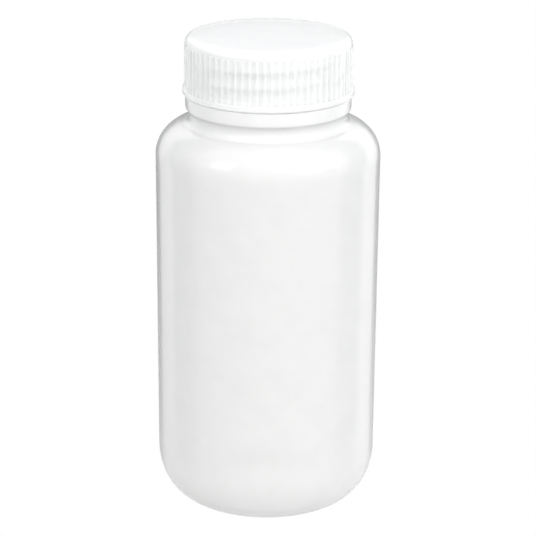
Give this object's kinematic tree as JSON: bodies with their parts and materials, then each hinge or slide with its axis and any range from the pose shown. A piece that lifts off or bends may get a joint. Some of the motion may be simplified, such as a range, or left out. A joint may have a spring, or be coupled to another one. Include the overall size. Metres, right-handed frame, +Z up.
{
  "type": "reagent bottle",
  "caption": "Round wide-mouth translucent plastic reagent bottle with rounded shoulders, a short collar, and a finely ribbed screw cap that unscrews and lifts off its threaded neck",
  "frame": {"origin": "on the bottle's axis, at the height of the surface it stands on", "axes": "+Z up along the bottle's axis from the foot to the cap; +X to the right and -Y to the viewer; the shape is round, so only the thread ends mark a direction about Z"},
  "size_m": [0.091, 0.091, 0.1954],
  "materials": {
    "bottle_plastic": "milky translucent blow-moulded plastic with a soft satin sheen",
    "cap_plastic": "translucent natural moulded plastic, smooth on top and finely ribbed round the skirt",
    "liner_foam": "matte white closed-cell foam disc"
  },
  "bodies": {
    "bottle": {"bottle": "bottle_plastic"},
    "liner": {"cap_liner": "liner_foam"},
    "cap": {"cap": "cap_plastic"}
  },
  "joints": [
    {"name": "cap_lift", "type": "slide", "parent": "bottle", "child": "liner", "axis": [0, 0, 1], "range_m": [0, 0.0255]},
    {"name": "cap_turn", "type": "hinge", "parent": "liner", "child": "cap", "pos_m": [0, 0, 0.183], "axis": [0, 0, 1], "range_deg": [0, 1440]}
  ],
  "couplings": [
    {"joint": "cap_lift", "follows": "cap_turn", "m_per_rad": 0.0010106}
  ]
}
